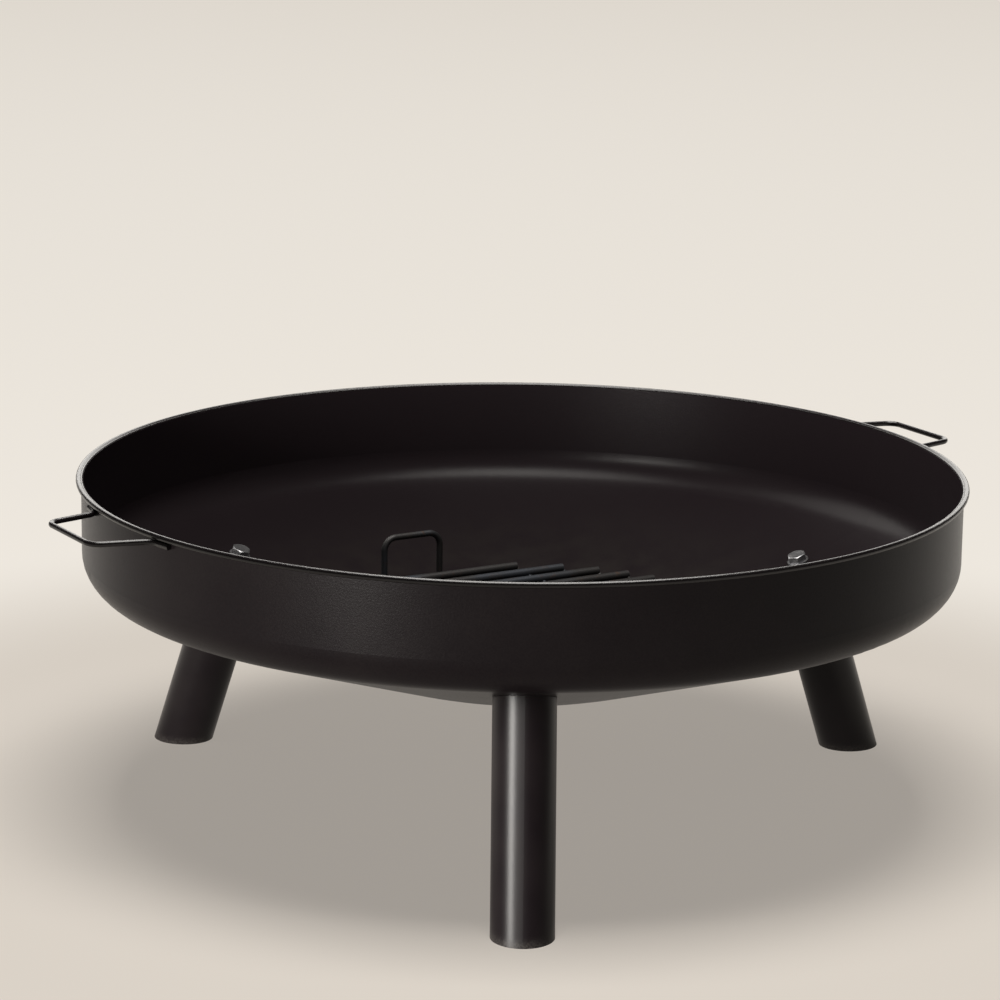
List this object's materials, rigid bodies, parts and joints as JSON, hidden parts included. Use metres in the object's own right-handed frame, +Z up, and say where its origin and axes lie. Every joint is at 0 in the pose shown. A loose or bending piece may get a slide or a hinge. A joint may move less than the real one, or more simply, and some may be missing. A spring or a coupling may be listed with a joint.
{
  "type": "fire pit with grate",
  "caption": "Round steel fire bowl with an upright rim and a conical bottom on splayed tube legs, with side handles and a lift-out grate that holds burning wood.",
  "frame": {"origin": "on the bowl's axis, at the level of the ground that the feet stand on", "axes": "+Z up along the bowl's axis; +X through the middle of one handle, above one leg; the other handle is at -X"},
  "size_m": [0.8936, 0.8, 0.309],
  "materials": {
    "black_paint": "satin heat-resistant black paint with a fine grain",
    "grate_steel": "bare round steel rod, darkened by fire",
    "zinc_steel": "zinc-plated, dulled by heat"
  },
  "bodies": {
    "fire_bowl": {"bowl": "black_paint", "rim_ring": "black_paint", "handle_right": "black_paint", "handle_left": "black_paint", "leg_right": "black_paint", "leg_left": "black_paint", "leg_front": "black_paint", "leg_top_plate_right": "black_paint", "leg_top_plate_left": "black_paint", "leg_top_plate_front": "black_paint", "foot_plate_right": "black_paint", "foot_plate_left": "black_paint", "foot_plate_front": "black_paint", "leg_bolts": "zinc_steel", "leg_washers": "zinc_steel", "leg_nuts": "zinc_steel"},
    "grate": {"grate_ring": "grate_steel", "grate_cross_bar_right": "grate_steel", "grate_cross_bar_left": "grate_steel", "grate_loop_back": "grate_steel", "grate_loop_front": "grate_steel", "grate_bar_1": "grate_steel", "grate_bar_2": "grate_steel", "grate_bar_3": "grate_steel", "grate_bar_4": "grate_steel", "grate_bar_5": "grate_steel", "grate_bar_6": "grate_steel", "grate_bar_7": "grate_steel", "grate_bar_8": "grate_steel", "grate_bar_9": "grate_steel", "grate_bar_10": "grate_steel", "grate_bar_11": "grate_steel", "grate_bar_12": "grate_steel", "grate_bar_13": "grate_steel", "grate_bar_14": "grate_steel", "grate_bar_15": "grate_steel"}
  },
  "joints": [
    {"name": "grate_lift", "type": "slide", "parent": "fire_bowl", "child": "grate", "axis": [0, 0, 1], "range_m": [0, 0.2]}
  ]
}
